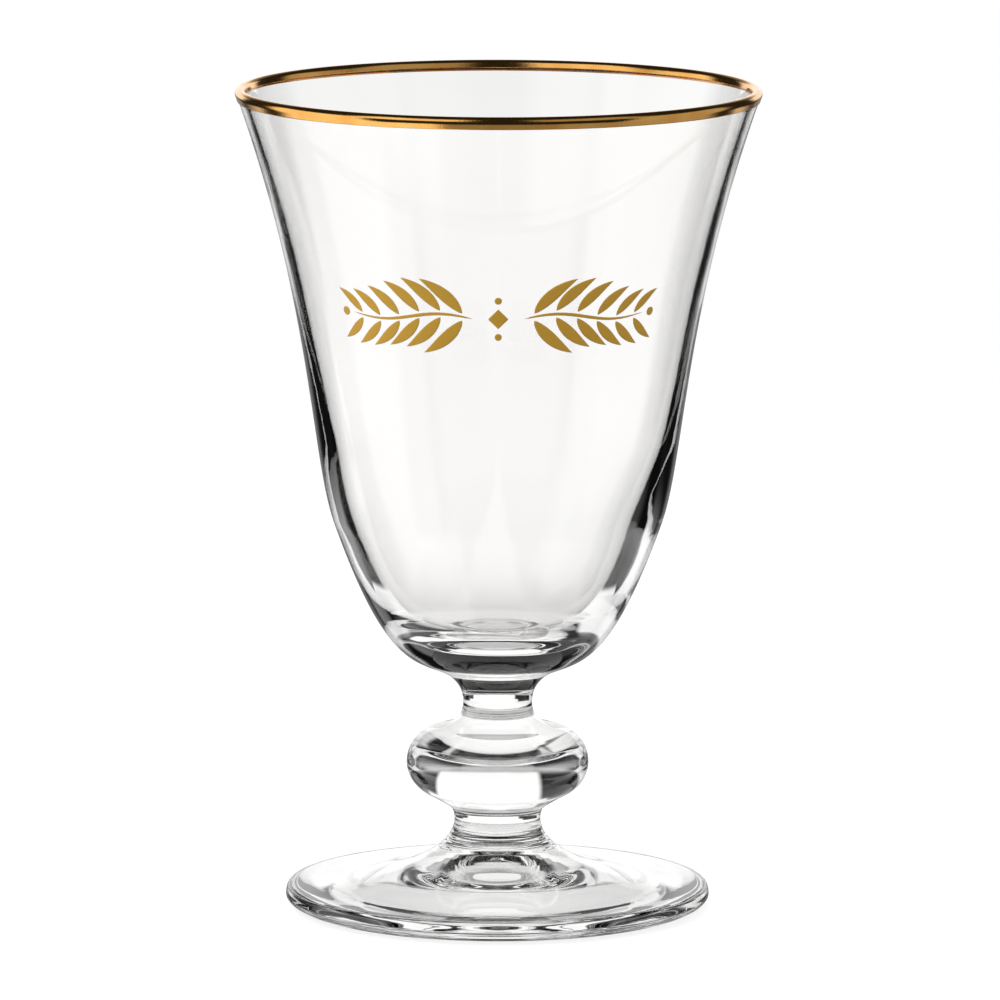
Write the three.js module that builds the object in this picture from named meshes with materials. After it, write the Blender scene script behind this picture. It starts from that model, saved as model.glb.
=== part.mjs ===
// Footed goblet with a gilded rim: a bell-shaped bowl on a short knopped stem and a spread foot.
// Millimetres, +Z up. The origin is the centre of the plane that the foot rests on.
import * as THREE from 'three';

// Heights of the pieces, stacked from the table up
const FOOT_HEIGHT = 13.4;
const LOWER_NECK_HEIGHT = 3.4;
const KNOP_HEIGHT = 16.3;
const UPPER_NECK_HEIGHT = 4.3;
const BOWL_HEIGHT = 102.4;

// Foot
const FOOT_RADIUS = 36;
const FOOT_EDGE_HEIGHT = 4.1; // where the rounded edge runs into the top
const FOOT_WIDEST_HEIGHT = 2.3; // where the edge stands out most
const FOOT_TOP_ROUND = 0.95; // how far the edge draws in above its widest line
const FOOT_UNDER_ROUND = 5.8; // how far the edge draws in below its widest line
const RESTING_RING_WIDTH = 5;
const UNDERSIDE_DISH = 4.2; // depth of the dished underside
const UNDERSIDE_DOME = 3; // how much deeper the dome in its middle is
const UNDERSIDE_DOME_RADIUS = 13;
const FOOT_DISH_REACH = 15.2; // how far the flat of the top runs in from the edge
const FOOT_COLLAR_DROP = 5.2; // how far the collar keeps its slope below the neck

// Stem: the necks are drawn in between their seams, and the knop is a bead between two shoulders
const LOWER_NECK_RADIUS = 7.3;
const LOWER_NECK_FLARE = 0.35; // how much wider the neck is at its seams than at its waist
const UPPER_NECK_RADIUS = 5.85;
const UPPER_NECK_FLARE = 0.42;
const KNOP_RADIUS = 15.45;
const KNOP_SHOULDER = 2.05; // height of each shoulder between the bead and a neck
const KNOP_BEAD_DEPTH = 6.7; // radial half-width of the bead's rounded section
const KNOP_TOP_TURN = 75; // degrees of the bead above its widest line
const KNOP_BOTTOM_TURN = 60; // degrees of the bead below its widest line

// Bowl: outer and inner wall are each a curve from the bottom to the belly and one on to the lip
const COLLAR_HEIGHT = 2.3; // the bowl's own collar above the neck
const COLLAR_RADIUS = 8.1; // where the collar meets the rounded bottom
const COLLAR_RISE = 1.2; // how far the collar keeps the neck's slope
const BELLY_HEIGHT = 28.6; // above the seam with the neck
const BELLY_RADIUS = 27.75;
const BELLY_WALL = 3.75;
const MOUTH_RADIUS = 44.2;
const LIP_WALL = 1.4;
const LIP_LEAN = 19.5; // degrees that the wall leans out at the lip
const FLOOR_HEIGHT = 10.2; // lowest point of the inside above the seam
const BOTTOM_ANGLE = 35.4; // degrees that the outside rises at the collar
const OUTER_LEAN = 19.4; // degrees that the outer wall leans out at the belly
const INNER_LEAN = 22.5;

// Fullness of the bowl's curves, as shares of each curve's own height or width
const OUTER_FULLNESS = { bottom: 0.323, side: 1.091, waist: 0.166, flare: 0.532 };
const INNER_FULLNESS = { bottom: 0.63, side: 1, waist: 0.22, flare: 0.556 };

// Gold band over the lip
const GOLD_THICKNESS = 0.15;
const GOLD_CLEARANCE = 0.05;
const GOLD_OUTER_DEPTH = 0.95;
const GOLD_INNER_DEPTH = 0.7;

// Fineness of the faceted solids
const SEGMENTS = 48;
const WALL_STEPS = 9;
const LIP_STEPS = 6;
const BEAD_STEPS = 14;
const TURN_STEPS = 4;
const HOLLOW_STEPS = 16;
const NECK_STEPS = 6;
const FOOT_STEPS = 10;

const at = (radius, height) => new THREE.Vector2(radius, height);
const radians = THREE.MathUtils.degToRad;

// Unit direction that rises and leans out from the vertical by an angle in degrees
const leaning = (angle) => at(Math.sin(radians(angle)), Math.cos(radians(angle)));

const along = (point, direction, distance) => point.clone().addScaledVector(direction, distance);

// Elliptical arc about a centre, between two angles in degrees counted from straight out
function arc(centre, halfWidth, halfHeight, from, to, steps) {
  const clockwise = to < from;
  return new THREE.EllipseCurve(
    centre.x, centre.y, halfWidth, halfHeight, radians(from), radians(to), clockwise,
  ).getPoints(steps);
}

// Curve that leaves one point along its direction and arrives at another along its own
function tangentBlend(start, startDirection, end, endDirection, steps) {
  const gap = end.clone().sub(start);
  const reach = gap.cross(endDirection) / startDirection.cross(endDirection);
  const corner = along(start, startDirection, reach);
  return new THREE.QuadraticBezierCurve(start, corner, end).getPoints(steps);
}

// Wall of a bell: from the bottom point to the belly, then on to the lip
function bellWall(bottom, bottomDirection, belly, bellyDirection, lip, lipDirection, fullness) {
  const width = belly.x - bottom.x;
  const lowerHeight = belly.y - bottom.y;
  const upperHeight = lip.y - belly.y;
  const lower = new THREE.CubicBezierCurve(
    bottom,
    along(bottom, bottomDirection, fullness.bottom * width),
    along(belly, bellyDirection, -fullness.side * lowerHeight),
    belly,
  );
  const upper = new THREE.CubicBezierCurve(
    belly,
    along(belly, bellyDirection, fullness.waist * upperHeight),
    along(lip, lipDirection, -fullness.flare * upperHeight),
    lip,
  );
  return [...lower.getPoints(WALL_STEPS), ...upper.getPoints(WALL_STEPS)];
}

// Solid turned about +Z from an outline that runs out along the bottom, up the outside and back in
function turned(outline) {
  const points = outline.filter((p, i) => i === 0 || p.distanceTo(outline[i - 1]) > 1e-6);
  return new THREE.LatheGeometry(points, SEGMENTS).rotateX(Math.PI / 2);
}

const lowerSeamRadius = LOWER_NECK_RADIUS + LOWER_NECK_FLARE;
const upperSeamRadius = UPPER_NECK_RADIUS + UPPER_NECK_FLARE;

// Degrees that a neck's side leans at its seams, from the slope of its parabola there
const seamLean = (flare, height) => THREE.MathUtils.radToDeg(Math.atan(4 * flare / height));
const lowerSeamLean = seamLean(LOWER_NECK_FLARE, LOWER_NECK_HEIGHT);
const upperSeamLean = seamLean(UPPER_NECK_FLARE, UPPER_NECK_HEIGHT);

// Underside of the foot: a parabola, with a dome of half a cosine wave in its middle
function undersideOutline(reach) {
  return Array.from({ length: HOLLOW_STEPS + 1 }, (_, i) => {
    const outward = i / HOLLOW_STEPS;
    const offDome = Math.min(1, (reach * outward) / UNDERSIDE_DOME_RADIUS);
    const dome = (UNDERSIDE_DOME * (1 + Math.cos(Math.PI * offDome))) / 2;
    return at(reach * outward, UNDERSIDE_DISH * (1 - outward ** 2) + dome);
  });
}

// Foot: hollow underside, flat resting ring, rounded edge, low top and a collar up to the neck
function footGeometry() {
  const ringOuter = FOOT_RADIUS - FOOT_UNDER_ROUND;
  const ringInner = ringOuter - RESTING_RING_WIDTH;
  const topEdge = at(FOOT_RADIUS - FOOT_TOP_ROUND, FOOT_EDGE_HEIGHT);
  const seam = at(lowerSeamRadius, FOOT_HEIGHT);
  const upperHalf = FOOT_EDGE_HEIGHT - FOOT_WIDEST_HEIGHT;
  const top = new THREE.CubicBezierCurve(
    topEdge,
    at(topEdge.x - FOOT_DISH_REACH, FOOT_EDGE_HEIGHT),
    along(seam, leaning(-lowerSeamLean), -FOOT_COLLAR_DROP),
    seam,
  );
  return turned([
    ...undersideOutline(ringInner),
    at(ringOuter, 0),
    ...arc(at(ringOuter, FOOT_WIDEST_HEIGHT), FOOT_UNDER_ROUND, FOOT_WIDEST_HEIGHT, 270, 360, TURN_STEPS),
    ...arc(at(topEdge.x, FOOT_WIDEST_HEIGHT), FOOT_TOP_ROUND, upperHalf, 0, 90, TURN_STEPS),
    ...top.getPoints(FOOT_STEPS),
    at(0, FOOT_HEIGHT),
  ]);
}

// Neck: radius grows with the square of the distance from the waist, up to the flare at each seam
function neckGeometry(height, waistRadius, flare) {
  const side = Array.from({ length: NECK_STEPS + 1 }, (_, i) => {
    const fromWaist = (2 * i) / NECK_STEPS - 1;
    return at(waistRadius + flare * fromWaist ** 2, (height * i) / NECK_STEPS);
  });
  return turned([at(0, 0), ...side, at(0, height)]);
}

// Knop: a rounded bead whose ends sweep into the necks over a shoulder
function knopGeometry() {
  const beadHalfHeight = KNOP_HEIGHT / 2 - KNOP_SHOULDER;
  const centre = at(KNOP_RADIUS - KNOP_BEAD_DEPTH, KNOP_HEIGHT / 2);
  const bead = arc(centre, KNOP_BEAD_DEPTH, beadHalfHeight, -KNOP_BOTTOM_TURN, KNOP_TOP_TURN, BEAD_STEPS);
  const beadDirection = (angle) => at(
    -KNOP_BEAD_DEPTH * Math.sin(radians(angle)),
    beadHalfHeight * Math.cos(radians(angle)),
  );
  const lowerShoulder = tangentBlend(
    at(lowerSeamRadius, 0), leaning(lowerSeamLean),
    bead[0], beadDirection(-KNOP_BOTTOM_TURN), TURN_STEPS,
  );
  const upperShoulder = tangentBlend(
    bead[BEAD_STEPS], beadDirection(KNOP_TOP_TURN),
    at(upperSeamRadius, KNOP_HEIGHT), leaning(-upperSeamLean), TURN_STEPS,
  );
  return turned([at(0, 0), ...lowerShoulder, ...bead, ...upperShoulder, at(0, KNOP_HEIGHT)]);
}

// The lip is a half round across the wall, turned out with the wall's lean
const lipRound = LIP_WALL / 2;
const lipCentre = at(MOUTH_RADIUS - lipRound, BOWL_HEIGHT - lipRound);
const lipArc = (radius) => arc(lipCentre, radius, radius, -LIP_LEAN, 180 - LIP_LEAN, LIP_STEPS);

// Bowl: collar, rounded bottom, flared outer wall, lip, inner wall down to a rounded floor
function bowlGeometry() {
  const collar = at(COLLAR_RADIUS, COLLAR_HEIGHT);
  const seam = at(upperSeamRadius, 0);
  const collarCurve = new THREE.QuadraticBezierCurve(
    seam, along(seam, leaning(upperSeamLean), COLLAR_RISE), collar,
  );
  const lip = lipArc(lipRound);
  const outerWall = bellWall(
    collar, leaning(90 - BOTTOM_ANGLE),
    at(BELLY_RADIUS, BELLY_HEIGHT), leaning(OUTER_LEAN),
    lip[0], leaning(LIP_LEAN), OUTER_FULLNESS,
  );
  const innerWall = bellWall(
    at(0, FLOOR_HEIGHT), leaning(90),
    at(BELLY_RADIUS - BELLY_WALL, BELLY_HEIGHT), leaning(INNER_LEAN),
    lip[LIP_STEPS], leaning(LIP_LEAN), INNER_FULLNESS,
  );
  return turned([
    at(0, 0),
    ...collarCurve.getPoints(TURN_STEPS),
    ...outerWall,
    ...lip,
    ...innerWall.reverse(),
  ]);
}

// Gold band: a thin skin folded over the lip, deeper outside than inside
function goldRimGeometry() {
  const lean = leaning(LIP_LEAN);
  const layer = (radius) => {
    const over = lipArc(radius);
    return [
      along(over[0], lean, -GOLD_OUTER_DEPTH),
      ...over,
      along(over[LIP_STEPS], lean, -GOLD_INNER_DEPTH),
    ];
  };
  const skin = layer(lipRound + GOLD_CLEARANCE + GOLD_THICKNESS);
  const seat = layer(lipRound + GOLD_CLEARANCE).reverse();
  return turned([...skin, ...seat, skin[0]]);
}

function glass(tint) {
  return new THREE.MeshStandardMaterial({
    color: tint, roughness: 0.05, metalness: 0, transparent: true, opacity: 0.4,
  });
}

const gold = new THREE.MeshStandardMaterial({ color: 0xb9862c, roughness: 0.2, metalness: 1 });

function piece(name, geometry, material, height) {
  const mesh = new THREE.Mesh(geometry, material);
  mesh.name = name;
  mesh.position.z = height;
  return mesh;
}

const footSeam = FOOT_HEIGHT;
const knopBottom = footSeam + LOWER_NECK_HEIGHT;
const knopTop = knopBottom + KNOP_HEIGHT;
const bowlSeam = knopTop + UPPER_NECK_HEIGHT;

const lowerNeck = neckGeometry(LOWER_NECK_HEIGHT, LOWER_NECK_RADIUS, LOWER_NECK_FLARE);
const upperNeck = neckGeometry(UPPER_NECK_HEIGHT, UPPER_NECK_RADIUS, UPPER_NECK_FLARE);

const goblet = new THREE.Group();
goblet.name = 'goblet';
goblet.add(
  piece('foot', footGeometry(), glass(0xe9efed), 0),
  piece('lower_neck', lowerNeck, glass(0xedf2f0), footSeam),
  piece('knop', knopGeometry(), glass(0xe6edeb), knopBottom),
  piece('upper_neck', upperNeck, glass(0xedf2f0), knopTop),
  piece('bowl', bowlGeometry(), glass(0xf2f5f4), bowlSeam),
  piece('gold_rim', goldRimGeometry(), gold, bowlSeam),
);

export default goblet;
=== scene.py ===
"""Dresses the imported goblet: clear glass turned from smooth outlines, a gilded lip and printed sprigs."""
import math

import bpy
import numpy as np
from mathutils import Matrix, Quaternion, Vector


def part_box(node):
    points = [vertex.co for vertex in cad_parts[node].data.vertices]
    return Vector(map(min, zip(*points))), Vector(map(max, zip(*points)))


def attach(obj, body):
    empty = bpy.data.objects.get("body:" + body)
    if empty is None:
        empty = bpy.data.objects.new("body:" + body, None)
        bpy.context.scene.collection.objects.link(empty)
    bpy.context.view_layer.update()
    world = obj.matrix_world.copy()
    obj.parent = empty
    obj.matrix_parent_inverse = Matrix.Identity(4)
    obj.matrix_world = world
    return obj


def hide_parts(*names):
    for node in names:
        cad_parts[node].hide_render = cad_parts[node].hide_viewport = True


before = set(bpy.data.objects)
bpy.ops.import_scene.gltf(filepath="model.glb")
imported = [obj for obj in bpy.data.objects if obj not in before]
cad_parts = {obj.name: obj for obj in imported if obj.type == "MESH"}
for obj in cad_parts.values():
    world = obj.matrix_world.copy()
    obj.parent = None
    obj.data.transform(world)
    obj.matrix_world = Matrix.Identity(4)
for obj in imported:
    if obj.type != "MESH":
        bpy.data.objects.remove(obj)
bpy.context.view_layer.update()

bl_info = {
    "name": "Goblet",
    "version": (1, 0, 0),
    "blender": (4, 5, 0),
    "location": "View3D > Sidebar > Goblet",
    "description": "Builds a footed glass goblet with a gilded lip around its CAD frame",
    "category": "Object",
}

MM = 0.001
BODY = "root"
PHOTO_PIXELS = 1000
SENSOR_WIDTH = 36.0  # mm

# Highest corner of each CAD node: x is its radius and z its top
TOP = {node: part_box(node)[1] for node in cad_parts}

# Fineness of the turned surfaces
SEGMENTS = 256
WALL_STEPS = 70
CURVE_STEPS = 24
LIP_STEPS = 20
ANGLES = np.arange(SEGMENTS) * (2 * math.pi / SEGMENTS)


def length(name, description, default):
    """A length in metres."""
    return bpy.props.FloatProperty(
        name=name, description=description, default=default, min=0, precision=5, unit="LENGTH")


def angle(name, description, degrees):
    """An angle, kept in radians and given in degrees."""
    return bpy.props.FloatProperty(
        name=name, description=description, default=math.radians(degrees), subtype="ANGLE")


def share(name, description, default):
    """A plain factor."""
    return bpy.props.FloatProperty(
        name=name, description=description, default=default, subtype="FACTOR")


def colour(name, description, default):
    """A linear colour."""
    return bpy.props.FloatVectorProperty(
        name=name, description=description, default=default, size=3, min=0, max=1, subtype="COLOR")


class GobletFoot(bpy.types.PropertyGroup):
    """Sizes of the foot"""
    radius: length("Radius", "Widest reach of the foot from the axis", TOP["foot"].x)
    height: length("Height", "Joint with the lower neck above the table", TOP["foot"].z)
    edge_height: length("Edge height", "Where the rounded edge runs into the top", 4.1 * MM)
    widest_height: length("Widest height", "Where the edge stands out most", 2.3 * MM)
    top_round: length("Top round", "How far the edge draws in above its widest line", 0.95 * MM)
    under_round: length("Under round", "How far the edge draws in below its widest line", 5.8 * MM)
    ring_width: length("Resting ring", "Width of the flat ring that stands on the table", 5 * MM)
    ring_round: length("Ring round", "Reach of the rounding between the ring and the underside", 2 * MM)
    dish: length("Dish", "Depth of the dished underside", 4.2 * MM)
    dome: length("Dome", "How much deeper the dome in its middle is", 3 * MM)
    dome_radius: length("Dome radius", "Reach of the dome from the axis", 13 * MM)
    dish_reach: length("Dish reach", "How far the flat of the top runs in from the edge", 15.2 * MM)
    collar_drop: length("Collar drop", "How far the collar keeps its slope below the neck", 5.2 * MM)
    ripple: length("Ripple", "Depth of the fine rings that the tool left on the collar", 0.03 * MM)
    ripple_pitch: length("Ripple pitch", "Height from one fine ring to the next", 0.75 * MM)


class GobletStem(bpy.types.PropertyGroup):
    """Sizes of the two necks and the knop"""
    lower_radius: length("Lower waist", "Radius of the lower neck at its waist", 7.3 * MM)
    lower_flare: length("Lower flare", "How much wider the lower neck is at its joints", 0.35 * MM)
    upper_radius: length("Upper waist", "Radius of the upper neck at its waist", 5.85 * MM)
    upper_flare: length("Upper flare", "How much wider the upper neck is at its joints", 0.42 * MM)
    knop_radius: length("Knop radius", "Widest reach of the knop from the axis", TOP["knop"].x)
    shoulder: length("Shoulder", "Height of each shoulder between the bead and a neck", 2.05 * MM)
    bead_depth: length("Bead depth", "Radial half-width of the bead's rounded section", 6.7 * MM)
    top_turn: angle("Top turn", "Turn of the bead above its widest line", 75)
    bottom_turn: angle("Bottom turn", "Turn of the bead below its widest line", 60)


class GobletBowl(bpy.types.PropertyGroup):
    """Sizes of the bowl, with heights above its joint with the upper neck"""
    height: length("Height", "Joint to the top of the lip", TOP["bowl"].z - TOP["upper_neck"].z)
    mouth_radius: length("Mouth radius", "Outer radius of the lip", TOP["bowl"].x)
    collar_height: length("Collar height", "The bowl's own collar above the neck", 2.3 * MM)
    collar_radius: length("Collar radius", "Where the collar meets the rounded bottom", 8.1 * MM)
    collar_rise: length("Collar rise", "How far the collar keeps the neck's slope", 1.2 * MM)
    belly_height: length("Belly height", "Where the bottom's curve becomes the wall", 28.6 * MM)
    belly_radius: length("Belly radius", "Outer radius at the belly", 27.75 * MM)
    belly_wall: length("Belly wall", "Thickness of the glass at the belly", 3.75 * MM)
    lip_wall: length("Lip wall", "Thickness of the glass at the lip", 1.4 * MM)
    floor_height: length("Floor height", "Lowest point of the inside", 10.2 * MM)
    lip_lean: angle("Lip lean", "Lean of the wall at the lip", 19.5)
    bottom_angle: angle("Bottom angle", "Rise of the outside at the collar", 35.4)
    outer_lean: angle("Outer lean", "Lean of the outer wall at the belly", 19.4)
    inner_lean: angle("Inner lean", "Lean of the inner wall at the belly", 22.5)
    blow_wave: length("Blow wave", "Uneven thickness that blowing leaves in the inner wall", 0.05 * MM)
    off_centre: length("Off centre", "How far the inside sits beside the axis, low down", 0.5 * MM)


class GobletGilding(bpy.types.PropertyGroup):
    """Sizes of the gold on the lip and on the bowl's front"""
    thickness: length("Thickness", "Thickness of the gold on the lip", 0.145 * MM)
    clearance: length("Clearance", "Gap between the gold and the lip", 0.05 * MM)
    outer_depth: length("Outer depth", "How far the gold runs down outside", 0.95 * MM)
    inner_depth: length("Inner depth", "How far the gold runs down inside", 0.7 * MM)
    ornament_height: length("Ornament height", "Middle of the sprigs above the table", 105.4 * MM)
    sprig_start: length("Sprig start", "Where each sprig starts beside the middle", 4.2 * MM)
    sprig_reach: length("Sprig reach", "Where each sprig ends beside the middle", 26.5 * MM)
    sprig_sway: length("Sprig sway", "How far each sprig sways up and down", 0.8 * MM)
    stalk_half: length("Stalk", "Half the width of each sprig's stalk", 0.34 * MM)
    leaf_length: length("Leaf length", "Length of the longest leaf", 9.4 * MM)
    leaf_width: length("Leaf width", "Width of the widest leaf", 2.15 * MM)
    leaf_pairs: bpy.props.IntProperty(
        name="Leaf pairs", description="Pairs of leaves on each sprig", default=6, min=1)
    print_thickness: length("Print thickness", "Thickness of the printed gold", 0.04 * MM)
    print_clearance: length("Print clearance", "Gap between the print and the glass", 0.01 * MM)


class GobletFinish(bpy.types.PropertyGroup):
    """Colours and finishes"""
    glass_tint: colour("Glass tint", "Colour that clear glass leaves in light", (0.995, 0.991, 0.986))
    glass_index: share("Refraction", "Index of refraction of the glass", 1.52)
    gold: colour("Gold", "Fired gold on the lip", (0.9, 0.5, 0.14))
    worn_gold: colour("Worn gold", "Thinner gold along the lip", (0.8, 0.38, 0.09))
    print_gold: colour("Printed gold", "Gold ink of the ornament", (0.7, 0.4, 0.045))


class GobletStage(bpy.types.PropertyGroup):
    """Camera, floor and light"""
    camera_distance: length("Camera distance", "Camera to the middle of the goblet", 1643 * MM)
    target_height: length("Target height", "Height that the camera looks at", 69.8 * MM)
    camera_side: length("Camera side", "How far the camera stands beside the axis", 0.34 * MM)
    pitch: angle("Pitch", "How far the camera looks down", 8.81)
    roll: angle("Roll", "Tilt of the camera about its line of sight", 0.1)
    focal_pixels: share("Focal length", "Focal length in pixels of the photograph", 9704)
    floor_radius: length("Floor radius", "Reach of the pale floor", 600 * MM)
    wedge_half: length("Wedge", "Half the width, at the axis, of the floor that bent light shows", 37 * MM)
    wedge_near: length("Wedge near", "Half the least width of that part close behind the goblet", 74 * MM)
    wedge_flare: angle("Wedge flare", "How fast that part widens to the back, on each side", 15.2)
    floor_white: share("Floor white", "Part of the floor's white that no shadow takes away", 0.83)
    # Painted shade: how much darker the floor is painted near the goblet's axis, for rays through two walls
    # of glass, and how far from the axis that painted shade reaches
    painted_floor_shade: share("Dusk", "How much darker two walls of glass show the floor at the axis", 0.36)
    painted_floor_shade_reach: length("Dusk reach", "How far from the axis that darker floor ends", 300 * MM)
    mouth_white: share("Mouth white", "White that shows through one wall of glass, from above", 0.96)
    bowl_white: share("Bowl white", "White that shows through two walls of glass", 1.1)
    ambient: share("Ambient", "Even light on matt surfaces", 0.75)


def settings(group):
    """The scene's own values of a property group."""
    return getattr(bpy.context.scene, "goblet_" + group)


# Outlines are arrays of (radius, height) in metres

def point(radius, height):
    """One point of an outline."""
    return np.array([radius, height])


def leaning(lean):
    """Unit direction that rises and leans out from the vertical by an angle."""
    return np.array([math.sin(lean), math.cos(lean)])


def bezier(*controls, steps=CURVE_STEPS):
    """Bezier curve: the control points' mean, weighted by Bernstein polynomials of an even parameter."""
    t = np.linspace(0, 1, steps + 1)[:, None]
    last = len(controls) - 1
    weights = [math.comb(last, i) * t**i * (1 - t)**(last - i) for i in range(last + 1)]
    return sum(weight * control for weight, control in zip(weights, controls))


def arc(centre, half_width, half_height, start, end, steps=CURVE_STEPS):
    """Ellipse arc: centre plus (half_width cos a, half_height sin a), a from start to end in degrees."""
    a = np.radians(np.linspace(start, end, steps + 1))
    return centre + np.stack([half_width * np.cos(a), half_height * np.sin(a)], axis=1)


def crossing(start, start_direction, end, end_direction):
    """Where two lines meet: the start plus as much of its direction as reaches the line through the end."""
    gap = end - start
    turn = start_direction[0] * end_direction[1] - start_direction[1] * end_direction[0]
    reach = (gap[0] * end_direction[1] - gap[1] * end_direction[0]) / turn
    return start + reach * start_direction


def joined(*stretches):
    """One outline from several stretches, without points that repeat."""
    outline = np.concatenate([np.atleast_2d(stretch) for stretch in stretches])
    moved = np.linalg.norm(np.diff(outline, axis=0), axis=1) > 1e-9
    return outline[np.concatenate([[True], moved])]


def eased(value, low, high):
    """Smooth step from 0 at low to 1 at high."""
    part = np.clip((value - low) / (high - low), 0, 1)
    return part * part * (3 - 2 * part)


def joint_lean(flare, height):
    """Lean of a neck's side at its joints, from the slope of its parabola there."""
    return math.atan(4 * flare / height)


def foot_outline():
    """Parabola and half a cosine wave underneath, a rounded ring, two quarter ellipses, a Bezier on top."""
    foot, stem = settings("foot"), settings("stem")
    neck_height = TOP["lower_neck"].z - TOP["foot"].z
    ring_outer = foot.radius - foot.under_round
    ring_inner = ring_outer - foot.ring_width
    across = np.linspace(0, ring_inner - foot.ring_round, WALL_STEPS + 1)
    dome = foot.dome * (1 + np.cos(math.pi * np.minimum(1, across / foot.dome_radius))) / 2
    under = np.stack([across, foot.dish * (1 - (across / ring_inner)**2) + dome], axis=1)
    corner = crossing(under[-1], under[-1] - under[-2], point(ring_inner, 0), point(1, 0))
    ring = corner + point(foot.ring_round, 0)
    top_edge = point(foot.radius - foot.top_round, foot.edge_height)
    top_half = foot.edge_height - foot.widest_height
    joint = point(stem.lower_radius + stem.lower_flare, foot.height)
    slope = leaning(-joint_lean(stem.lower_flare, neck_height))
    return joined(
        under,
        bezier(under[-1], corner, ring),
        bezier(ring, point(ring_outer, 0), steps=6),
        arc(point(ring_outer, foot.widest_height), foot.under_round, foot.widest_height, 270, 360),
        arc(point(top_edge[0], foot.widest_height), foot.top_round, top_half, 0, 90),
        bezier(top_edge, top_edge - point(foot.dish_reach, 0), joint - foot.collar_drop * slope, joint,
               steps=WALL_STEPS * 2),
        point(0, foot.height),
    )


def neck_outline(low, high, waist, flare):
    """Side of a neck: the waist's radius plus the flare times the squared distance from the waist."""
    from_waist = np.linspace(-1, 1, CURVE_STEPS + 1)
    radius = waist + flare * from_waist**2
    height = (low + high + (high - low) * from_waist) / 2
    return joined(point(0, low), np.stack([radius, height], axis=1), point(0, high))


def knop_outline():
    """Elliptical bead between two shoulders, each a quadratic Bezier tangent to the bead and to a neck."""
    stem = settings("stem")
    low, high = TOP["lower_neck"].z, TOP["knop"].z
    lower_lean = joint_lean(stem.lower_flare, low - TOP["foot"].z)
    upper_lean = joint_lean(stem.upper_flare, TOP["upper_neck"].z - high)
    half_height = (high - low) / 2 - stem.shoulder
    centre = point(stem.knop_radius - stem.bead_depth, (low + high) / 2)
    turns = (math.degrees(turn) for turn in (-stem.bottom_turn, stem.top_turn))
    bead = arc(centre, stem.bead_depth, half_height, *turns, steps=WALL_STEPS)

    def direction(turn):
        return np.array([-stem.bead_depth * math.sin(turn), half_height * math.cos(turn)])

    bottom = point(stem.lower_radius + stem.lower_flare, low)
    top = point(stem.upper_radius + stem.upper_flare, high)
    lower_corner = crossing(bottom, leaning(lower_lean), bead[0], direction(-stem.bottom_turn))
    upper_corner = crossing(bead[-1], direction(stem.top_turn), top, leaning(-upper_lean))
    return joined(
        point(0, low),
        bezier(bottom, lower_corner, bead[0]),
        bead,
        bezier(bead[-1], upper_corner, top),
        point(0, high),
    )


def bell_wall(bottom, bottom_direction, belly, belly_direction, lip, lip_direction, fullness):
    """Two cubic Beziers, bottom to belly and on to the lip, with handles as shares of width or height."""
    width, lower = belly - bottom
    upper = lip[1] - belly[1]
    from_bottom, to_belly, from_belly, to_lip = fullness
    return joined(
        bezier(bottom, bottom + from_bottom * width * bottom_direction,
               belly - to_belly * lower * belly_direction, belly, steps=WALL_STEPS),
        bezier(belly, belly + from_belly * upper * belly_direction,
               lip - to_lip * upper * lip_direction, lip, steps=WALL_STEPS),
    )


# Handles of the bowl's outer and inner wall: bottom, side, waist and flare
OUTER_FULLNESS = (0.323, 1.091, 0.166, 0.532)
INNER_FULLNESS = (0.63, 1.0, 0.22, 0.556)


def lip_arc(extra=0):
    """Half circle across the wall's end, turned out with the wall's lean and lifted off it by extra."""
    bowl = settings("bowl")
    radius = bowl.lip_wall / 2
    centre = point(bowl.mouth_radius - radius, TOP["bowl"].z - radius)
    lean = math.degrees(bowl.lip_lean)
    return arc(centre, radius + extra, radius + extra, -lean, 180 - lean, steps=LIP_STEPS)


def outer_wall():
    """Outside of the bowl from the collar to the lip."""
    bowl = settings("bowl")
    low = TOP["upper_neck"].z
    return bell_wall(
        point(bowl.collar_radius, low + bowl.collar_height), leaning(math.pi / 2 - bowl.bottom_angle),
        point(bowl.belly_radius, low + bowl.belly_height), leaning(bowl.outer_lean),
        lip_arc()[0], leaning(bowl.lip_lean), OUTER_FULLNESS)


def inner_wall():
    """Inside of the bowl from its floor to the lip."""
    bowl = settings("bowl")
    low = TOP["upper_neck"].z
    return bell_wall(
        point(0, low + bowl.floor_height), leaning(math.pi / 2),
        point(bowl.belly_radius - bowl.belly_wall, low + bowl.belly_height), leaning(bowl.inner_lean),
        lip_arc()[-1], leaning(bowl.lip_lean), INNER_FULLNESS)


def bowl_outline():
    """Joint, collar, outside, lip and inside of the bowl."""
    bowl, stem = settings("bowl"), settings("stem")
    low = TOP["upper_neck"].z
    joint = point(stem.upper_radius + stem.upper_flare, low)
    slope = leaning(joint_lean(stem.upper_flare, low - TOP["knop"].z))
    collar = point(bowl.collar_radius, low + bowl.collar_height)
    return joined(
        point(0, low),
        bezier(joint, joint + bowl.collar_rise * slope, collar),
        outer_wall(),
        lip_arc(),
        inner_wall()[::-1],
    )


def lip_gold_outline():
    """Closed outline: a skin over the lip and back along its seat, both offsets of the lip's half circle."""
    gilding, bowl = settings("gilding"), settings("bowl")
    down = -leaning(bowl.lip_lean)

    def layer(extra):
        over = lip_arc(extra)
        outside = bezier(over[0] + gilding.outer_depth * down, over[0], steps=8)
        inside = bezier(over[-1], over[-1] + gilding.inner_depth * down, steps=6)
        return joined(outside, over, inside)

    return joined(layer(gilding.clearance + gilding.thickness), layer(gilding.clearance)[::-1])


# Meshes

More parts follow.
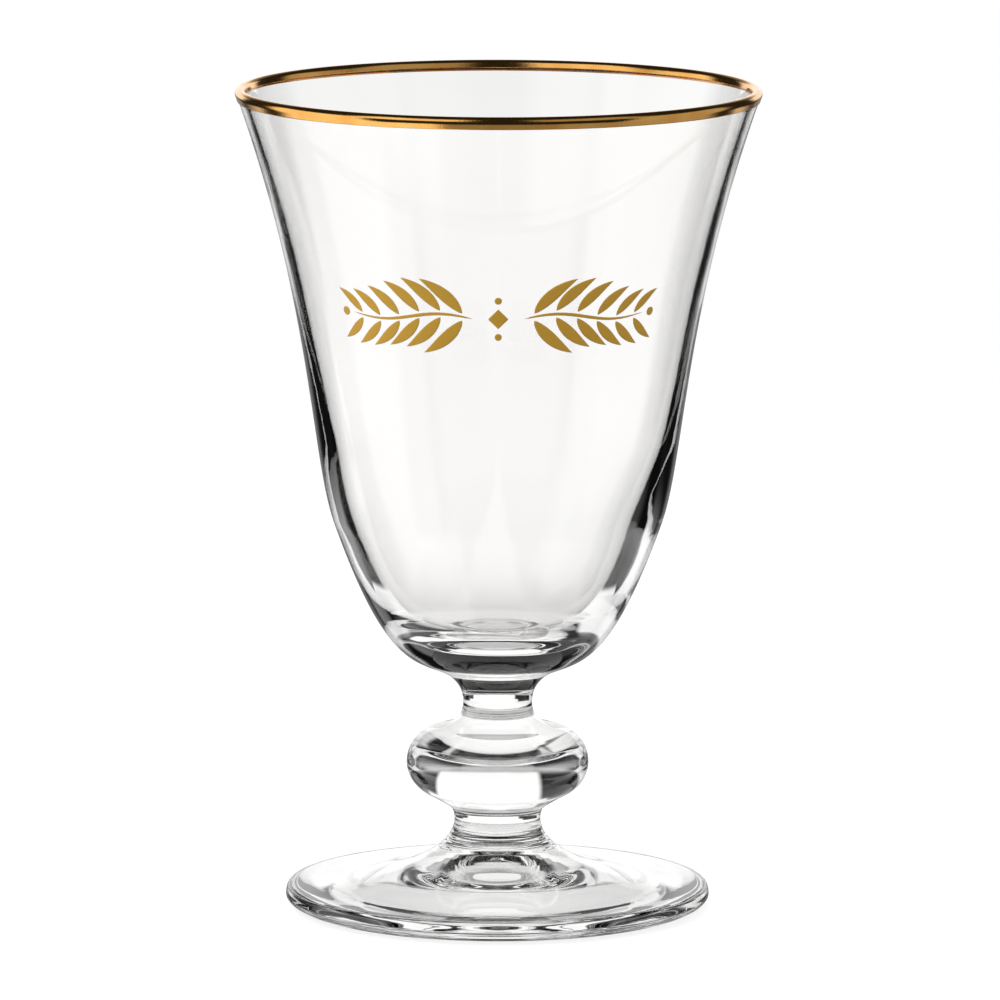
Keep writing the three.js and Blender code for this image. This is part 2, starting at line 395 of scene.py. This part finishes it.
def mesh_object(name, vertices, faces, materials):
    """A smooth mesh object at the origin."""
    mesh = bpy.data.meshes.new(name)
    mesh.from_pydata(vertices, [], faces)
    for material in materials:
        mesh.materials.append(material)
    mesh.polygons.foreach_set("use_smooth", np.ones(len(mesh.polygons), bool))
    mesh.validate()
    mesh.update()
    made = bpy.data.objects.new(name, mesh)
    bpy.context.collection.objects.link(made)
    return made


def ring_faces(rings, around):
    """Quads of a grid of rings that close round: each joins two neighbours to those on the next ring."""
    ring, here = np.arange(rings - 1)[:, None] * around, np.arange(around)[None]
    there = (here + 1) % around
    corners = [ring + here, ring + there, ring + around + there, ring + around + here]
    return np.stack(corners, axis=-1).reshape(-1, 4)


def pole_faces(pole, first, around, turned_over):
    """Triangles between one pole and a ring."""
    here = np.arange(around)
    there = (here + 1) % around
    low, high = (there, here) if turned_over else (here, there)
    return np.stack([np.full(around, pole), first + low, first + high], axis=-1)


def revolved(radius, height):
    """Points (r cos a, r sin a, h), on a grid of outline points by angles."""
    return np.stack([radius * np.cos(ANGLES), radius * np.sin(ANGLES), height + 0 * ANGLES], axis=-1)


def turned(name, outline, materials, wave=None, joints=()):
    """Surface of revolution: x = r cos a, y = r sin a, z = h, of an outline whose ends lie on the axis.

    wave(angle, radius, height) is added to the radius. The joints, "low" or "high", are flat ends where
    glass is fused to the next piece; they take the second material.
    """
    radius, height = outline[1:-1, :1], outline[1:-1, 1:]
    rings = len(radius)
    grid = revolved(radius + (wave(ANGLES[None], radius, height) if wave else 0), height)
    poles = np.array([[0, 0, outline[0, 1]], [0, 0, outline[-1, 1]]])
    vertices = np.concatenate([grid.reshape(-1, 3), poles])
    low_pole, high_pole = rings * SEGMENTS, rings * SEGMENTS + 1
    last_ring = (rings - 1) * SEGMENTS
    faces = [
        *pole_faces(low_pole, 0, SEGMENTS, True).tolist(),
        *ring_faces(rings, SEGMENTS).tolist(),
        *pole_faces(high_pole, last_ring, SEGMENTS, False).tolist(),
    ]
    made = mesh_object(name, vertices, faces, materials)
    mesh = made.data
    slots = np.zeros(len(mesh.polygons), int)
    ends = {"low": (slice(0, SEGMENTS), 0), "high": (slice(-SEGMENTS, None), last_ring)}
    edge_ends = np.empty(2 * len(mesh.edges), int)
    mesh.edges.foreach_get("vertices", edge_ends)
    edge_ends = edge_ends.reshape(-1, 2)
    sharp = np.zeros(len(mesh.edges), bool)
    for joint in joints:
        fan, ring = ends[joint]
        slots[fan] = 1
        sharp |= ((edge_ends >= ring) & (edge_ends < ring + SEGMENTS)).all(axis=1)
    mesh.polygons.foreach_set("material_index", slots)
    mesh.attributes.new("sharp_edge", "BOOLEAN", "EDGE").data.foreach_set("value", sharp)
    mesh.update()
    return made


def turned_ring(name, outline, materials):
    """Surface of revolution of a closed outline, with the last ring joined to the first."""
    grid = revolved(outline[:, :1], outline[:, 1:])
    count = len(outline)
    faces = ring_faces(count + 1, SEGMENTS) % (count * SEGMENTS)
    return mesh_object(name, grid.reshape(-1, 3), faces.tolist(), materials)


def placed(piece, node):
    """Puts a piece on its body, in place of its CAD node, which it hides."""
    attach(piece, BODY)
    if node:
        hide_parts(node)


# Materials

class Shade:
    """An output socket of a node tree. Operators add Math nodes, and node() adds any other node."""

    def __init__(self, tree, socket=None):
        self.tree, self.socket = tree, socket

    def node(self, kind, settings, sockets, output=0):
        """Adds a node: its settings, then its sockets' values or links. Gives one of its outputs."""
        made = self.tree.nodes.new(kind)
        for name, value in settings.items():
            setattr(made, name, value)
        for name, value in sockets.items():
            if isinstance(value, Shade):
                self.tree.links.new(value.socket, made.inputs[name])
            else:
                made.inputs[name].default_value = value
        return Shade(self.tree, made.outputs[output] if made.outputs else None)

    def maths(self, operation, *values):
        return self.node("ShaderNodeMath", {"operation": operation}, dict(enumerate(values)))

    def __add__(self, other):
        return self.maths("ADD", self, other)

    def __sub__(self, other):
        return self.maths("SUBTRACT", self, other)

    def __rsub__(self, other):
        return self.maths("SUBTRACT", other, self)

    def __mul__(self, other):
        return self.maths("MULTIPLY", self, other)

    def __truediv__(self, other):
        return self.maths("DIVIDE", self, other)

    __radd__, __rmul__ = __add__, __mul__

    def rise(self, low, high):
        """Smooth step from 0 at low to 1 at high."""
        return self.node("ShaderNodeMapRange", {"interpolation_type": "SMOOTHSTEP"},
                         {"Value": self, "From Min": low, "From Max": high})


def new_material(name):
    """A node material, with its tree and nothing in it."""
    material = bpy.data.materials.new(name)
    material.use_nodes = True
    material.node_tree.nodes.clear()
    return material, Shade(material.node_tree)


def principled(tree, sockets):
    """A Principled shader on the surface."""
    shader = tree.node("ShaderNodeBsdfPrincipled", {}, sockets)
    tree.node("ShaderNodeOutputMaterial", {}, {"Surface": shader})


def noise(tree, size, detail=2.0):
    """Noise over Object coordinates, from 0 to 1, with features of a size in metres."""
    place = tree.node("ShaderNodeTexCoord", {}, {}, "Object")
    return tree.node("ShaderNodeTexNoise", {}, {"Vector": place, "Scale": 1 / size, "Detail": detail})


def mixed(tree, factor, first, second):
    """Two colours mixed by a factor."""
    sockets = {0: factor, 6: (*first, 1), 7: (*second, 1)}
    return tree.node("ShaderNodeMix", {"data_type": "RGBA"}, sockets, 2)


def grey(tree, level):
    """A colour with one level in red, green and blue."""
    return tree.node("ShaderNodeCombineColor", {}, {0: level, 1: level, 2: level})


def clear_glass(name, smear, ripple):
    """Clear glass: a faint tint that shifts, thin smears in the gloss, a shallow skin from the mould."""
    finish = settings("finish")
    material, tree = new_material(name)
    tint = tuple(finish.glass_tint)
    cast = noise(tree, 30 * MM)
    wiped = noise(tree, 9 * MM, 5.0).rise(0.55, 0.8)
    skin = noise(tree, 6 * MM)
    bump = tree.node("ShaderNodeBump", {}, {"Strength": 1.0, "Distance": ripple, "Height": skin})
    principled(tree, {
        "Base Color": mixed(tree, cast, tint, [0.985 * c for c in tint]),
        "Roughness": wiped * smear,
        "Normal": bump,
        "IOR": finish.glass_index,
        "Transmission Weight": 1.0,
    })
    return material


def fused_joint():
    """Fused glass shows no joint, so the joint's faces let light straight through."""
    if "fused_joint" in bpy.data.materials:
        return bpy.data.materials["fused_joint"]
    material, tree = new_material("fused_joint")
    principled(tree, {"Base Color": (1, 1, 1, 1), "Alpha": 0.0})
    return material


def fired_gold():
    """Bright gold: fine strokes, worn thinner in patches, with a gloss that changes with them."""
    finish = settings("finish")
    material, tree = new_material("fired_gold")
    patches = noise(tree, 7 * MM, 4.0)
    strokes = noise(tree, 0.5 * MM, 3.0)
    bump = tree.node("ShaderNodeBump", {}, {"Strength": 0.5, "Distance": 0.02 * MM, "Height": strokes})
    principled(tree, {
        "Base Color": mixed(tree, patches.rise(0.35, 0.75), finish.gold, finish.worn_gold),
        "Roughness": 0.08 + 0.08 * patches,
        "Normal": bump,
        "Metallic": 1.0,
    })
    return material


def printed_gold():
    """Gold ink: satin, with fine grain in its colour and gloss."""
    finish = settings("finish")
    material, tree = new_material("printed_gold")
    grain = noise(tree, 0.35 * MM, 3.0)
    ink = tuple(finish.print_gold)
    principled(tree, {
        "Base Color": mixed(tree, grain, [0.92 * c for c in ink], [min(1, 1.12 * c) for c in ink]),
        "Roughness": 0.42 + 0.2 * grain,
        "Metallic": 0.25,
    })
    return material


class GOBLET_OT_foot(bpy.types.Operator):
    """Makes the spread foot with its rippled collar"""
    bl_idname = "goblet.foot"
    bl_label = "Foot"

    def execute(self, context):
        foot = settings("foot")

        def rings(angles, radius, height):
            """Fine rings: a sine of the height, faded in over the collar, and a sway round the axis."""
            collar = np.clip((height - 0.55 * foot.height) / (0.3 * foot.height), 0, 1)
            sway = 0.3 * np.cos(3 * angles + 400 * radius)
            return foot.ripple * collar * (np.sin(2 * math.pi * height / foot.ripple_pitch) + sway)

        glass = clear_glass("foot_glass", 0.03, 0.01 * MM)
        piece = turned("foot", foot_outline(), [glass, fused_joint()], rings, ["high"])
        placed(piece, "foot")
        return {"FINISHED"}


class GOBLET_OT_necks(bpy.types.Operator):
    """Makes the two waisted necks"""
    bl_idname = "goblet.necks"
    bl_label = "Necks"

    def execute(self, context):
        stem = settings("stem")
        glass, joint = clear_glass("neck_glass", 0.02, 0.01 * MM), fused_joint()
        necks = {
            "lower_neck": (TOP["foot"].z, stem.lower_radius, stem.lower_flare),
            "upper_neck": (TOP["knop"].z, stem.upper_radius, stem.upper_flare),
        }
        for name, (low, waist, flare) in necks.items():
            outline = neck_outline(low, TOP[name].z, waist, flare)
            placed(turned(name, outline, [glass, joint], joints=["low", "high"]), name)
        return {"FINISHED"}


class GOBLET_OT_knop(bpy.types.Operator):
    """Makes the knop, a fat bead of glass"""
    bl_idname = "goblet.knop"
    bl_label = "Knop"

    def execute(self, context):
        glass = clear_glass("knop_glass", 0.02, 0.01 * MM)
        piece = turned("knop", knop_outline(), [glass, fused_joint()], joints=["low", "high"])
        placed(piece, "knop")
        return {"FINISHED"}


# Waves of the bowl's inside: how many go round, how they twist with height, their phase and their share
BLOW_WAVES = ((2, 3, 0.6, 1), (3, -9, 2, 0.7), (5, 14, 4, 0.5))


class GOBLET_OT_bowl(bpy.types.Operator):
    """Makes the blown bowl with its thick bottom"""
    bl_idname = "goblet.bowl"
    bl_label = "Bowl"

    def execute(self, context):
        bowl = settings("bowl")
        outline = bowl_outline()
        inner = inner_wall()
        low, high = inner[0, 1], inner[-1, 1]

        def blown(angles, radius, height):
            """Uneven inside: slow waves round the axis that twist with height, and a shift low down."""
            rise = np.clip((height - low) / (high - low), 0, 1)
            inside = radius < np.interp(height, inner[:, 1], inner[:, 0]) + 1e-6
            shift = eased(radius, 3 * MM, 16 * MM) * (1 - eased(rise, 0.18, 0.36)) * np.cos(angles)
            waves = sum(part * np.cos(count * angles + twist * rise + phase)
                        for count, twist, phase, part in BLOW_WAVES)
            uneven = bowl.blow_wave * np.sin(math.pi * rise) * waves + bowl.off_centre * shift
            return inside * -uneven

        glass = clear_glass("bowl_glass", 0.02, 0.01 * MM)
        piece = turned("bowl", outline, [glass, fused_joint()], blown, ["low"])
        placed(piece, "bowl")
        return {"FINISHED"}


class GOBLET_OT_lip_gold(bpy.types.Operator):
    """Makes the gold that is folded over the lip"""
    bl_idname = "goblet.lip_gold"
    bl_label = "Lip gold"

    def execute(self, context):
        placed(turned_ring("gold_rim", lip_gold_outline(), [fired_gold()]), "gold_rim")
        return {"FINISHED"}


RIBBON_STEPS = 20
RIBBON_AROUND = 10


def ribbons(along, upright, half_width, lift):
    """Flat closed strips on the bowl's front, as arrays of strips by steps.

    Each is a thin ellipse carried along a path: the path's point plus cos(a) half_width across it, at a
    height off the glass of lift (1 + sin a) / 2. The path's distance beside the middle becomes an angle
    round the axis.
    """
    gilding = settings("gilding")
    wall = outer_wall()
    middle_radius = np.interp(gilding.ornament_height, wall[:, 1], wall[:, 0])
    ahead, up = np.gradient(along, axis=1), np.gradient(upright, axis=1)
    pace = np.hypot(ahead, up)
    a = np.arange(RIBBON_AROUND) * (2 * math.pi / RIBBON_AROUND)
    across = half_width[..., None] * np.cos(a)
    beside = along[..., None] - across * (up / pace)[..., None]
    height = gilding.ornament_height + upright[..., None] + across * (ahead / pace)[..., None]
    off_glass = gilding.print_clearance + lift * (1 + np.sin(a)) / 2
    radius = np.interp(height, wall[:, 1], wall[:, 0]) + off_glass
    turn = beside / middle_radius
    grid = np.stack([radius * np.sin(turn), -radius * np.cos(turn), height], axis=-1)
    strips, steps = along.shape
    starts, ends = grid[:, 0].mean(axis=1), grid[:, -1].mean(axis=1)
    body = grid[:, 1:-1].reshape(strips, -1, 3)
    vertices = np.concatenate([body, starts[:, None], ends[:, None]], axis=1)
    per_strip = vertices.shape[1]
    last_ring = (steps - 3) * RIBBON_AROUND
    pattern = [
        *pole_faces(per_strip - 2, 0, RIBBON_AROUND, True).tolist(),
        *ring_faces(steps - 2, RIBBON_AROUND).tolist(),
        *pole_faces(per_strip - 1, last_ring, RIBBON_AROUND, False).tolist(),
    ]
    return vertices, pattern


class GOBLET_OT_ornament(bpy.types.Operator):
    """Makes the printed pair of leafy sprigs on the bowl's front"""
    bl_idname = "goblet.ornament"
    bl_label = "Ornament"

    def execute(self, context):
        gilding = settings("gilding")
        t = np.linspace(0, 1, RIBBON_STEPS)[None]

        def sway(part):
            """Height of a sprig's stalk: one sine wave that dies away outwards."""
            return gilding.sprig_sway * np.sin(2 * math.pi * part) * (1 - 0.3 * part)

        span = gilding.sprig_reach - gilding.sprig_start
        stalk_half = gilding.stalk_half * np.sqrt(np.sin(math.pi * t)) * (1 - 0.4 * t)
        stalk = (gilding.sprig_start + span * t, sway(t), stalk_half)

        station = np.repeat((np.arange(gilding.leaf_pairs) + 0.4) / gilding.leaf_pairs, 2)[:, None]
        side = np.tile([1, -1], gilding.leaf_pairs)[:, None]
        size = gilding.leaf_length * (1 - 0.4 * station)
        heading = side * (0.95 - 0.5 * t)
        step = size / (RIBBON_STEPS - 1)
        leaf_along = gilding.sprig_start + span * station + np.cumsum(np.cos(heading), axis=1) * step
        leaf_up = sway(station) + side * 0.2 * MM + np.cumsum(np.sin(heading), axis=1) * step
        leaf_half = gilding.leaf_width / 2 * (1 - 0.35 * station) * np.sin(math.pi * t**0.8)**0.9
        right = [np.concatenate(part) for part in zip(stalk, (leaf_along, leaf_up, leaf_half))]

        berry_along = np.array([gilding.sprig_reach + 1.6 * MM, 0, 0, 0])[:, None]
        berry_up = np.array([sway(1.0), 0, 3.1 * MM, -3.1 * MM])[:, None]
        berry_size = np.array([0.75, 1.7, 0.6, 0.6])[:, None] * MM
        round_half = np.sqrt(np.clip(1 - (2 * t - 1)**2, 0, None))
        diamond_half = 1 - np.abs(2 * t - 1)
        shape = np.concatenate([round_half, diamond_half, round_half, round_half])
        berries = (berry_along + 0 * t, berry_up + berry_size * (2 * t - 1), berry_size * shape)
        left = (-right[0], right[1], right[2])
        left_berry = (-berries[0][:1], berries[1][:1], berries[2][:1])
        paths = [np.concatenate(part) for part in zip(right, left, berries, left_berry)]
        vertices, pattern = ribbons(*paths, gilding.print_thickness)
        strips, per_strip = vertices.shape[:2]
        firsts = range(0, strips * per_strip, per_strip)
        faces = [[first + corner for corner in face] for first in firsts for face in pattern]
        piece = mesh_object("gold_ornament", vertices.reshape(-1, 3), faces, [printed_gold()])
        placed(piece, None)
        return {"FINISHED"}


def light_path(tree, ray):
    """1 where the ray is of that kind."""
    return tree.node("ShaderNodeLightPath", {}, {}, ray)


def mirrored(tree):
    """1 where the ray comes off a gloss. Rays through glass count as glossy too, and are taken out."""
    return light_path(tree, "Is Glossy Ray") * (1 - light_path(tree, "Is Transmission Ray"))


def unbent(tree):
    """1 where the ray never bounced in the glass: such a view through it is white."""
    return 1 - tree.maths("MINIMUM", light_path(tree, "Glossy Depth"), 1.0)


def two_walls(tree):
    """1 where the ray has come through two walls of glass."""
    return tree.maths("GREATER_THAN", light_path(tree, "Transmission Depth"), 3.5)


# The floor's slab, and how bent light shows it: where its wider part begins and ends behind the axis,
# and how soft the sides are
FLOOR_THICKNESS = 2 * MM
FLOOR_GAP = 0.05 * MM
NEAR_BEGINS = (10 * MM, 40 * MM)
NEAR_ENDS = (85 * MM, 105 * MM)
WEDGE_BLUR = 5 * MM


def floor_material():
    """Pale matt floor: bent light shows a wedge of it, and gloss looks past it; painted shade darkens it
    near the axis where two walls of glass show it.
    """
    stage = settings("stage")
    material, tree = new_material("pale_floor")
    material.cycles.emission_sampling = "NONE"
    place = tree.node("ShaderNodeTexCoord", {}, {}, "Object")
    x, y = (tree.node("ShaderNodeSeparateXYZ", {}, {"Vector": place}, axis) for axis in "XY")
    wedge = y * math.tan(stage.wedge_flare) + stage.wedge_half
    near = y.rise(*NEAR_BEGINS) * (1 - y.rise(*NEAR_ENDS)) * stage.wedge_near
    outside = tree.maths("ABSOLUTE", x) - tree.maths("MAXIMUM", wedge, near)
    bent = light_path(tree, "Is Transmission Ray") * (1 - unbent(tree) * two_walls(tree))
    past = bent * outside.rise(-WEDGE_BLUR, WEDGE_BLUR) + mirrored(tree)
    from_axis = tree.maths("SQRT", x * x + y * y)
    # Painted shade: the floor's white is cut near the axis for rays through two walls of glass, fading out
    # with distance from the axis
    painted_floor_shade = two_walls(tree) * (1 - from_axis.rise(0, stage.painted_floor_shade_reach)) * stage.painted_floor_shade
    # The floor's emitted white, less that painted shade
    white = (1 - light_path(tree, "Is Diffuse Ray")) * stage.floor_white * (1 - painted_floor_shade)
    matt = tree.node("ShaderNodeBsdfPrincipled", {}, {
        "Base Color": mixed(tree, noise(tree, 2 * MM), (0.30, 0.30, 0.30), (0.31, 0.31, 0.31)),
        "Roughness": 0.9,
        "Specular IOR Level": 0.0,
        "Emission Color": grey(tree, white),
        "Emission Strength": 1.0,
    })
    clear = tree.node("ShaderNodeBsdfTransparent", {}, {})
    tree.node("ShaderNodeOutputMaterial", {}, {
        "Surface": tree.node("ShaderNodeMixShader", {}, {0: past, 1: matt, 2: clear})})
    return material


# Panels of the studio, each laid over those before it: azimuth from straight behind the goblet, turning
# left, half-width, lowest and highest elevation, level, and softness of the edges; angles are in degrees
GLASS_PANELS = (
    (0, 80, 18, 29, 0.58, 4),
    (92, 35, -25, 50, 1.0, 4),
    (-100, 30, -25, 30, 0.8, 4),
    (180, 45, -8, 30, 0.6, 6),
    (-6, 27, -12, 18, 1.12, 2),
    (-8, 34, -5, 3, 1.12, 2),
)
GLOSS_PANELS = (
    (0, 22, 8, 32, 0.2, 6),
    (90, 28, -42, 25, 1.2, 5),
    (270, 28, -42, 25, 0.5, 5),
    (0, 22, -30, 18, 0.3, 6),
    (36, 9, -34, -18, 0.85, 4),
    (-36, 9, -34, -18, 0.85, 4),
    (180, 36, -80, -40, 0.3, 5),
    (95, 54, -80, -38, 1.3, 5),
    (265, 54, -80, -38, 0.4, 5),
    (135, 28, 15, 55, 1.1, 8),
    (225, 28, 15, 55, 0.4, 8),
    (0, 32, -4, 14, 1.15, 3),
)
GLASS_DARK, GLOSS_DARK = 0.002, 0.02

# Upright part of a direction, between looking down through the mouth and looking level
MOUTH_SLOPE = (-0.1, -0.06)

# Soft box: width, power in watts, place, and the point that it faces, in metres
LAMP_WIDTH, LAMP_POWER = 0.6, 5
LAMP_PLACE, LAMP_AIM = Vector((-0.5, -0.8, 0.9)), Vector((0, 0, 0.07))


def panelled(tree, panels, light):
    """Light from each direction: an even level, with the panels over it."""
    direction = tree.node("ShaderNodeTexCoord", {}, {}, "Generated")
    x, y, z = (tree.node("ShaderNodeSeparateXYZ", {}, {"Vector": direction}, axis) for axis in "XYZ")
    elevation = tree.maths("ARCSINE", z)
    flat = tree.maths("SQRT", tree.maths("MAXIMUM", 1 - z * z, 1e-6))
    for azimuth, half_width, low, high, level, edge in panels:
        a = math.radians(azimuth)
        facing = (y * math.cos(a) - x * math.sin(a)) / flat
        away = tree.maths("ARCCOSINE", tree.maths("MAXIMUM", tree.maths("MINIMUM", facing, 1.0), -1.0))
        half, low, high, edge = map(math.radians, (half_width, low, high, edge))
        across = 1 - away.rise(half - edge, half + edge)
        above, below = elevation.rise(low - edge, low + edge), 1 - elevation.rise(high - edge, high + edge)
        light = light + across * (above * below) * (level - light)
    return light


def studio_world():
    """Dark studio with bright panels, apart for glass and for gloss, and even light for matt surfaces."""
    stage = settings("stage")
    world = bpy.data.worlds.new("studio")
    world.use_nodes = True
    world.node_tree.nodes.clear()
    tree = Shade(world.node_tree)
    camera, matt = light_path(tree, "Is Camera Ray"), light_path(tree, "Is Diffuse Ray")
    through = panelled(tree, GLASS_PANELS, GLASS_DARK)
    reflected = panelled(tree, GLOSS_PANELS, GLOSS_DARK)
    direction = tree.node("ShaderNodeTexCoord", {}, {}, "Generated")
    height = tree.node("ShaderNodeSeparateXYZ", {}, {"Vector": direction}, "Z")
    downward = 1 - height.rise(*MOUTH_SLOPE)
    for part, white in ((downward, stage.mouth_white), (two_walls(tree), stage.bowl_white)):
        through = through + unbent(tree) * part * (white - through)
    light = through + mirrored(tree) * (reflected - through)
    light = light + matt * (stage.ambient - light)
    light = light + camera * (1 - light)
    background = tree.node("ShaderNodeBackground", {}, {"Color": grey(tree, light), "Strength": 1.0})
    tree.node("ShaderNodeOutputWorld", {}, {"Surface": background})
    return world


class GOBLET_OT_stage(bpy.types.Operator):
    """Makes the floor, the light and the camera"""
    bl_idname = "goblet.stage"
    bl_label = "Stage"

    def execute(self, context):
        stage = settings("stage")
        scene = context.scene
        scene.view_settings.view_transform = "Standard"
        scene.world = studio_world()
        scene.cycles.max_bounces = 24
        scene.cycles.transmission_bounces = 24
        scene.cycles.glossy_bounces = 8
        scene.cycles.transparent_max_bounces = 32

        reach, low = stage.floor_radius, -FLOOR_THICKNESS
        slab = np.array([[0, low], [reach, low], [reach, 0], [0, 0]]) - point(0, FLOOR_GAP)
        floor = turned("floor", slab, [floor_material()])
        floor.data.polygons.foreach_set("use_smooth", np.zeros(len(floor.data.polygons), bool))

        lamp = bpy.data.lights.new("soft_box", "AREA")
        lamp.shape, lamp.size, lamp.energy = "DISK", LAMP_WIDTH, LAMP_POWER
        box = bpy.data.objects.new("soft_box", lamp)
        box.location = LAMP_PLACE
        box.rotation_euler = (LAMP_AIM - LAMP_PLACE).to_track_quat("-Z", "Y").to_euler()
        box.visible_glossy = box.visible_transmission = False
        context.collection.objects.link(box)

        camera = bpy.data.cameras.new("camera")
        camera.sensor_width = SENSOR_WIDTH
        camera.lens = SENSOR_WIDTH * stage.focal_pixels / PHOTO_PIXELS
        camera.clip_start = 0.05
        view = bpy.data.objects.new("camera", camera)
        back = Vector((0, -math.cos(stage.pitch), math.sin(stage.pitch)))
        target = Vector((stage.camera_side, 0, stage.target_height))
        view.location = target + stage.camera_distance * back
        turn = back.to_track_quat("Z", "Y") @ Quaternion((0, 0, 1), stage.roll)
        view.rotation_euler = turn.to_euler()
        context.collection.objects.link(view)
        scene.camera = view
        return {"FINISHED"}


PIECE_OPERATORS = (
    GOBLET_OT_foot, GOBLET_OT_necks, GOBLET_OT_knop, GOBLET_OT_bowl,
    GOBLET_OT_lip_gold, GOBLET_OT_ornament, GOBLET_OT_stage,
)
GROUPS = {
    "foot": GobletFoot, "stem": GobletStem, "bowl": GobletBowl,
    "gilding": GobletGilding, "finish": GobletFinish, "stage": GobletStage,
}


class GOBLET_PT_sidebar(bpy.types.Panel):
    """Lists the goblet's pieces and their sizes"""
    bl_idname = "GOBLET_PT_sidebar"
    bl_label = "Goblet"
    bl_space_type = "VIEW_3D"
    bl_region_type = "UI"
    bl_category = "Goblet"

    def draw(self, context):
        for operator in PIECE_OPERATORS:
            self.layout.operator(operator.bl_idname)
        for name in GROUPS:
            box = self.layout.box()
            box.label(text=name.capitalize())
            group = settings(name)
            for size in group.__annotations__:
                box.prop(group, size)


CLASSES = (*GROUPS.values(), *PIECE_OPERATORS, GOBLET_PT_sidebar)


def register():
    for each in CLASSES:
        bpy.utils.register_class(each)
    for name, group in GROUPS.items():
        setattr(bpy.types.Scene, "goblet_" + name, bpy.props.PointerProperty(type=group))


def unregister():
    for name in GROUPS:
        delattr(bpy.types.Scene, "goblet_" + name)
    for each in reversed(CLASSES):
        bpy.utils.unregister_class(each)


def main():
    register()
    bpy.ops.goblet.foot()
    bpy.ops.goblet.necks()
    bpy.ops.goblet.knop()
    bpy.ops.goblet.bowl()
    bpy.ops.goblet.lip_gold()
    bpy.ops.goblet.ornament()
    bpy.ops.goblet.stage()


if __name__ == "__main__":
    main()
